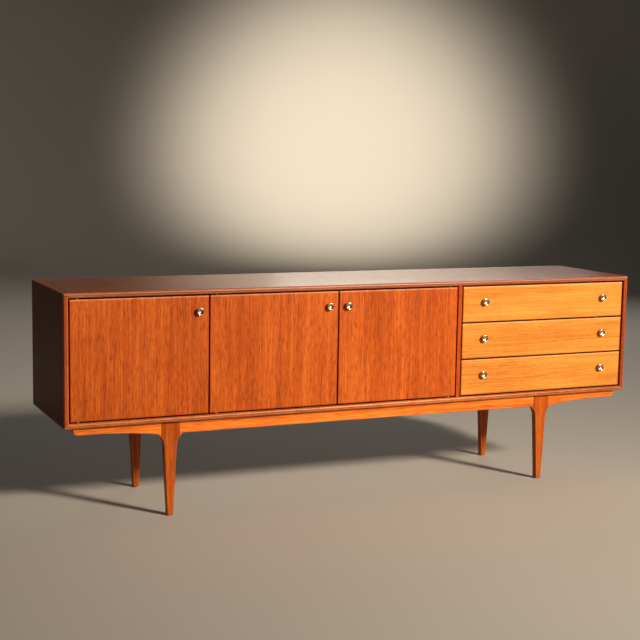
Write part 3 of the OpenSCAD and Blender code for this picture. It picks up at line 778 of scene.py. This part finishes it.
def both_sides(half):
    """The outline made of half, then its mirror image in x = 0 taken backwards."""
    return np.concatenate([half, half[::-1] * [-1, 1]])


def inward_shift(outline, joint):
    """How far each point moves when its free edges move in by one: to where its two moved edges
    cross. The shift d has n . d = -1 for a free edge's outward normal n and 0 for a joint's. Also 1
    for each point on a free edge."""
    edge = np.roll(outline, -1, 0) - outline
    after = np.stack([edge[:, 1], -edge[:, 0]], 1) / np.linalg.norm(edge, axis=1, keepdims=True)
    before = np.roll(after, 1, 0)
    free_after = 1.0 - joint
    free_before = np.roll(free_after, 1)
    cross = before[:, 0] * after[:, 1] - before[:, 1] * after[:, 0]
    smooth = np.abs(cross) < SMOOTH_TURN
    cross = np.where(smooth, 1.0, cross)
    crossing = np.stack(
        [
            (free_after * before[:, 1] - free_before * after[:, 1]) / cross,
            (free_before * after[:, 0] - free_after * before[:, 0]) / cross,
        ],
        1,
    )
    middle = before + after
    along = -middle * (free_before + free_after)[:, None] / (middle**2).sum(1, keepdims=True)
    return np.where(smooth[:, None], along, crossing), np.maximum(free_before, free_after)


def eased_slab(outline, joint, low, high, ease, axis=Y, steps=4):
    """A flat solid from a closed outline, low to high along the axis, its free edges rounded. Joint
    marks the edges that meet another piece, each starting at its own point, and these stay put. The
    other edges move inwards by ease (1 - sin a) at a depth of ease (1 - cos a)."""
    if (outline[:, 0] * np.roll(outline[:, 1], -1) - np.roll(outline[:, 0], -1) * outline[:, 1]).sum() < 0:
        outline = outline[::-1]
        joint = np.roll(joint[::-1], -1)
    shift, free = inward_shift(outline, joint)
    turn = np.linspace(0, np.pi / 2, steps + 1)
    inset = np.append(ease + EDGE_FADE, ease * (1 - np.sin(turn)))
    depth = np.append(0, ease * (1 - np.cos(turn)))
    wear = np.append(0, np.full(steps + 1, EDGE_RUB))
    flat = outline + np.concatenate([inset, inset[::-1]])[:, None, None] * shift
    level = np.concatenate([low + depth, (high - depth)[::-1]])
    points, faces = skin(layered(flat, level, axis))
    return points, faces, (np.concatenate([wear, wear[::-1]])[:, None] * free).ravel()


def joints(outline, test):
    """1 for each edge of the outline whose two end points both pass the test, 0 for the others."""
    passed = test(outline)
    return (passed & np.roll(passed, -1)).astype(float)


def at_top(outline):
    """True for points on the underside of the case."""
    return outline[:, 1] > CASE_BOTTOM - TOUCHING


def leg_solid(x, face):
    """A leg with its centre line at x: a straight taper from the foot to the neck, the curve up to
    the joint, then the head's slanting joint lines up to the case."""
    curve = fillet(0, HEAD_JOINT, LEG_CURVE_STEPS)
    outline = both_sides(np.concatenate([[(FOOT_W / 2, FOOT_Z)], curve, [(HEAD_HALF, CASE_BOTTOM)]]))
    above = joints(outline, lambda points: points[:, 1] > NECK_Z + HEAD_JOINT - TOUCHING)
    return eased_slab(outline + [x, 0], above, *face, EDGE_R)


def rail_solid(face):
    """The long rail between two legs, with its share of the curves."""
    inner_curve = both_sides(fillet(HEAD_JOINT, FILLET_H, RAIL_CURVE_STEPS))[RAIL_CURVE_STEPS + 1 :]
    half = np.concatenate([inner_curve + [LEG_X, 0], [(LEG_X - HEAD_HALF, CASE_BOTTOM)]])
    outline = both_sides(half)
    top = at_top(outline)
    foot = np.abs(outline[:, 1] - (NECK_Z + HEAD_JOINT)) < TOUCHING
    ends = (foot & np.roll(top, -1)) | (top & np.roll(foot, -1))
    return eased_slab(outline, np.maximum(joints(outline, at_top), ends), *face, EDGE_R)


def rail_end_solid(side, face):
    """The short end beyond a leg. Its height falls from the rail's to the tip's with the distance
    from the tip, as a fraction, to the power 2.5; the tip is a quarter circle below."""
    t = np.linspace(0, 1, TAPER_STEPS + 1)[1:]
    root = LEG_X + NECK_W / 2 + SHOULDER_W
    fall = TIP_H + (RAIL_H - TIP_H) * (1 - t) ** TAPER_POWER
    under = np.stack([root + (TIP_X - TIP_R - root) * t, CASE_BOTTOM - fall], 1)
    a = np.linspace(0, np.pi / 2, TIP_STEPS + 1)[1:]
    tip = np.stack([TIP_X - TIP_R + TIP_R * np.sin(a), CASE_BOTTOM - TIP_H + TIP_R * (1 - np.cos(a))], 1)
    shoulder = fillet(HEAD_JOINT, FILLET_H, RAIL_CURVE_STEPS) + [LEG_X, 0]
    outline = np.concatenate(
        [[(LEG_X + HEAD_HALF, CASE_BOTTOM)], shoulder, under, tip, [(TIP_X, CASE_BOTTOM)]]
    )
    joint = joints(outline, at_top)
    joint[0] = 1
    return eased_slab(outline * [side, 1], joint, *face, EDGE_R)


def cross_rail_solid(x, span):
    """A cross rail: level below, with a bracket's arc down to each leg, R - sqrt(R^2 - y^2)."""
    radius = (BRACKET_L**2 + BRACKET_H**2) / (2 * BRACKET_H)
    half_l = (span[1] - span[0]) / 2
    y = np.linspace(0, BRACKET_L, BRACKET_STEPS + 1)
    arc = np.stack([half_l - BRACKET_L + y, CROSS_LOW - radius + np.sqrt(radius**2 - y**2)], 1)
    outline = both_sides(np.concatenate([arc, [(half_l, CASE_BOTTOM)]])) + [(span[0] + span[1]) / 2, 0]
    from_ends = np.abs(outline[:, :1] - np.array(span))
    joint = np.maximum(
        joints(outline, at_top), joints(outline, lambda points: from_ends.min(1) < TOUCHING)
    )
    return eased_slab(outline, joint, x - CROSS_THICK / 2, x + CROSS_THICK / 2, CROSS_EDGE_R, axis=X)


leg_teak = oiled_teak(
    "leg_teak",
    Z,
    (0.3, 0.1, 0.8),
    LEG_TONES,
    LEG_WEIGHTS,
    flecks=(0.003, 0.05, 0.45),
    gloss=0.36,
    shine=0.14,
)
rail_teak = oiled_teak(
    "rail_teak",
    X,
    (0.9, 0.5, 0.3),
    RAIL_TONES,
    RAIL_WEIGHTS,
    flecks=(0.003, 0.06, 0.5),
    gloss=0.36,
    shine=0.2,
)
cross_teak = oiled_teak("cross_rail_teak", Y, (0.2, 0.9, 0.4), RAIL_TONES, RAIL_WEIGHTS, gloss=0.4)

rail_faces = {name: [corner[1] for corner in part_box(name + "_rail")] for name in ("front", "back")}
for face_name, face in rail_faces.items():
    rail = face_name + "_rail"
    make_piece(rail + "_wood", [rail_solid(face)], rail_teak, "cabinet", [rail])
    for side_name, side in (("left", -1), ("right", 1)):
        leg = f"{face_name}_{side_name}_leg"
        make_piece(leg + "_wood", [leg_solid(side * LEG_X, face)], leg_teak, "cabinet", [leg])
ends = [rail_end_solid(side, face) for side in (-1, 1) for face in rail_faces.values()]
make_piece("rail_ends_wood", ends, rail_teak, "cabinet", ["rail_ends"])

cross_span = (rail_faces["front"][1], rail_faces["back"][0])
crosses = [cross_rail_solid(x, cross_span) for x in (-LEG_X, LEG_X)]
make_piece("cross_rails_wood", crosses, cross_teak, "cabinet", ["cross_rails"])
frame_piece("foot_glides", brown_plastic, GLIDE_EASE)
frame_piece("base_screws", zinc, SCREW_EASE)


# ---- Doors ----
# Flush doors of veneered board, with the grain upright and small eased edges. Each turns on two
# brass bushes let into its top and bottom edges, and carries a steel plate for its magnet catch.

FRONT_EASE = 0.0018
# Fronts: a paler upper arris, partly rubbing and partly a painted highlight, and painted shade on the
# narrow sides and the other arrises.
FRONT_RUB_AND_HIGHLIGHT = 0.85
FRONT_GAP_SHADE = 0.9
BUSH_PROUD = 0.0002
BUSH_WALL = 0.00145
BUSH_LONG = 0.010
BUSH_EASE = 0.0003
BUSH_STEPS = 32
PLATE_EASE = 0.0002
DOOR_TONES = ((0.31, 0.049, 0.004), (0.455, 0.082, 0.007), (0.57, 0.125, 0.013))
DOOR_WEIGHTS = (1.3, 1.3, 1.5, 1.4)
door_teak = oiled_teak(
    "door_teak",
    Z,
    (1.7, 0.3, 2.9),
    DOOR_TONES,
    DOOR_WEIGHTS,
    flecks=(0.0042, 0.028, 0.6),
    gloss=0.36,
    shine=0.18,
)


def bush_rings(name):
    """Two brass bushes, each turned from a profile: up the bore, over the face, down the outside,
    with small cut edges. They stand proud of the door's edge by a hair."""
    low, high = (np.array(corner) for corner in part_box(name))
    centre = (low[:2] + high[:2]) / 2
    outer = (high[0] - low[0]) / 2
    bore = outer - BUSH_WALL
    solids = []
    for edge, outwards in ((low[2], -1), (high[2], 1)):
        end = edge + outwards * BUSH_PROUD
        inside = edge - outwards * BUSH_LONG
        cut = end - outwards * BUSH_EASE
        r = np.array([bore, bore, bore + BUSH_EASE, outer - BUSH_EASE, outer, outer])
        h = np.array([inside, cut, end, end, cut, inside])
        rings = turned(r, h, BUSH_STEPS) + [*centre, 0]
        points, faces = skin(np.concatenate([rings, rings[:1]]))
        solids.append((points, faces[:-2], np.zeros(len(points))))
    return solids


for door in ("left_door", "middle_door", "right_door"):
    # The door's edges carry a painted highlight above and painted shade on the sides and below.
    panel = eased_board(door + "_panel", FRONT_EASE, Y, FRONT_RUB_AND_HIGHLIGHT, FRONT_GAP_SHADE)
    make_piece(door + "_wood", [panel], door_teak, door, [door + "_panel"])
    bushes = bush_rings(door + "_bushes")
    make_piece(door + "_brass_bushes", bushes, brass, door, [door + "_bushes"])
    frame_piece(door + "_knob_screw", zinc, SCREW_EASE)
    frame_piece(door + "_strike_plate", zinc, PLATE_EASE)


# ---- Drawers ----
# Fronts of lighter teak with level grain; boxes of pale hardwood with a plywood bottom, grooved in
# their sides to run on wooden strips.

DRAWER_BACK_EASE = 0.001
DRAWER_BOTTOM_EASE = 0.0003
DRAWER_SIDE_EASE = 0.0008
RUNNER_EASE = 0.0006
DRAWER_TONES = ((0.49, 0.145, 0.018), (0.62, 0.240, 0.036), (0.71, 0.320, 0.058))
DRAWER_WEIGHTS = (1.3, 1.2, 1.1, 1.0)
BIRCH_TONES = ((0.52, 0.34, 0.17), (0.63, 0.44, 0.24), (0.72, 0.54, 0.32))
BOTTOM_TONES = ((0.42, 0.26, 0.13), (0.52, 0.35, 0.19), (0.62, 0.45, 0.27))

drawer_teak = oiled_teak(
    "drawer_teak",
    X,
    (0.8, 1.1, 0.35),
    DRAWER_TONES,
    DRAWER_WEIGHTS,
    flecks=(0.0034, 0.020, 0.22),
    gloss=0.38,
    shine=0.18,
)
birch_along = plain_timber("birch_along", Y, (0.5, 0.1, 0.9), BIRCH_TONES, width=0.004, gloss=0.45)
birch_across = plain_timber("birch_across", X, (0.9, 0.4, 0.2), BIRCH_TONES, width=0.004, gloss=0.45)
drawer_ply = plain_timber("drawer_plywood", X, (0.3, 0.8, 0.1), BOTTOM_TONES, width=0.007, gloss=0.5)

for drawer in ("top_drawer", "middle_drawer", "bottom_drawer"):
    # The drawer front's edges carry a painted highlight above and painted shade on the sides and below.
    front = eased_board(drawer + "_front", FRONT_EASE, Y, FRONT_RUB_AND_HIGHLIGHT, FRONT_GAP_SHADE)
    make_piece(drawer + "_front_wood", [front], drawer_teak, drawer, [drawer + "_front"])
    back = eased_board(drawer + "_back", DRAWER_BACK_EASE, Y)
    make_piece(drawer + "_back_wood", [back], birch_across, drawer, [drawer + "_back"])
    bottom = eased_board(drawer + "_bottom", DRAWER_BOTTOM_EASE, Z)
    make_piece(drawer + "_bottom_wood", [bottom], drawer_ply, drawer, [drawer + "_bottom"])
    frame_piece(drawer + "_sides", birch_along, DRAWER_SIDE_EASE)
    frame_piece(drawer + "_knob_screws", zinc, SCREW_EASE)
frame_piece("drawer_runners", birch_along, RUNNER_EASE)


# ---- Knobs ----
# Turned brass with a warm nickel plate: a small flange on the wood, a slim neck, and a flared cup
# with a rounded rim and a hollow face. The plate is finely ringed by the lathe and dulled by use.

KNOB_R = 0.0135
KNOB_H = 0.013
FLANGE = ((0.0003, 0.0), (0.0064, 0.0), (0.0070, 0.0005), (0.0069, 0.0011), (0.0058, 0.0015))
NECK_R, NECK_H = 0.0053, 0.0019
FLARE_W, FLARE_H, FLARE_POWER = 0.0079, 0.0069, 1.8
RIM_R = 0.0028
RIM_START = -0.35
DISH_R, DISH_H, DISH_DEPTH = 0.0099, 0.0080, 0.0047
DISH_MIDDLE = 0.02
CURVE_STEPS, DISH_STEPS, KNOB_STEPS = 12, 17, 64
NICKEL, WARM_NICKEL = (0.76, 0.57, 0.43, 1), (0.55, 0.36, 0.22, 1)
LATHE_TURNS = 520.0


def knob_profile():
    """Radius and height from the wood to the middle of the face: flange, neck, flare, rim, dish. The
    flare's radius grows with the 1.8th power of its height, the rim is an arc, the dish a parabola."""
    a = np.linspace(0, 1, CURVE_STEPS + 1)
    flare = np.stack([NECK_R + FLARE_W * a**FLARE_POWER, NECK_H + FLARE_H * a], 1)
    b = np.linspace(RIM_START, np.pi / 2, CURVE_STEPS + 1)
    rim = np.stack([KNOB_R - RIM_R + RIM_R * np.cos(b), KNOB_H - RIM_R + RIM_R * np.sin(b)], 1)
    c = np.linspace(1, DISH_MIDDLE, DISH_STEPS + 1)
    dish = np.stack([DISH_R * c, DISH_H + DISH_DEPTH * c**2], 1)
    return np.concatenate([FLANGE, flare, rim, dish])


def knob_solid(centre):
    """The profile turned about the line of the screw, standing out towards -Y from its centre. Its
    wear is the distance along the profile instead, which the lathe's rings follow."""
    radii, heights = knob_profile().T
    rings = turned(radii, heights, KNOB_STEPS)
    rings = np.stack([rings[..., 0], -rings[..., 2], rings[..., 1]], -1) + centre
    points, faces = skin(rings)
    return points, faces, np.repeat(np.linspace(0, 1, len(radii)), KNOB_STEPS)


def knob_nickel():
    """Warm nickel: fine turning rings, the sine of the distance along the profile, clouded by patches
    where brass shows faintly through."""
    made, tree, shader, place = new_finish("knob_nickel")
    ring = node(tree, "ShaderNodeAttribute", attribute_name="wear").outputs["Fac"]
    turns = node(tree, "ShaderNodeMath", {0: ring, 1: LATHE_TURNS}, operation="MULTIPLY").outputs[0]
    turns = node(tree, "ShaderNodeMath", {0: turns}, operation="SINE").outputs[0]
    cloud = speckle(tree, place, per_metre=220.0, detail=4.0)
    thin = ranged(tree, cloud, span=(0.42, 0.66), result=(0.0, 1.0))
    tree.links.new(mixed(tree, thin, NICKEL, WARM_NICKEL), shader.inputs["Base Color"])
    tree.links.new(carried(tree, cloud, amount=0.2, base=0.25), shader.inputs["Roughness"])
    roughen(tree, shader, turns, strength=0.05, depth=0.0002)
    shader.inputs["Metallic"].default_value = 1.0
    return made


nickel = knob_nickel()
for body in ("left_door", "middle_door", "right_door", "top_drawer", "middle_drawer", "bottom_drawer"):
    name = body + ("_knob" if body.endswith("door") else "_knobs")
    low, high = (np.array(corner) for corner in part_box(name))
    ends = {low[0] + KNOB_R, high[0] - KNOB_R} if body.endswith("drawer") else {(low[0] + high[0]) / 2}
    knobs = [knob_solid([x, high[1], (low[2] + high[2]) / 2]) for x in sorted(ends)]
    make_piece(name + "_nickel", knobs, nickel, body, [name])
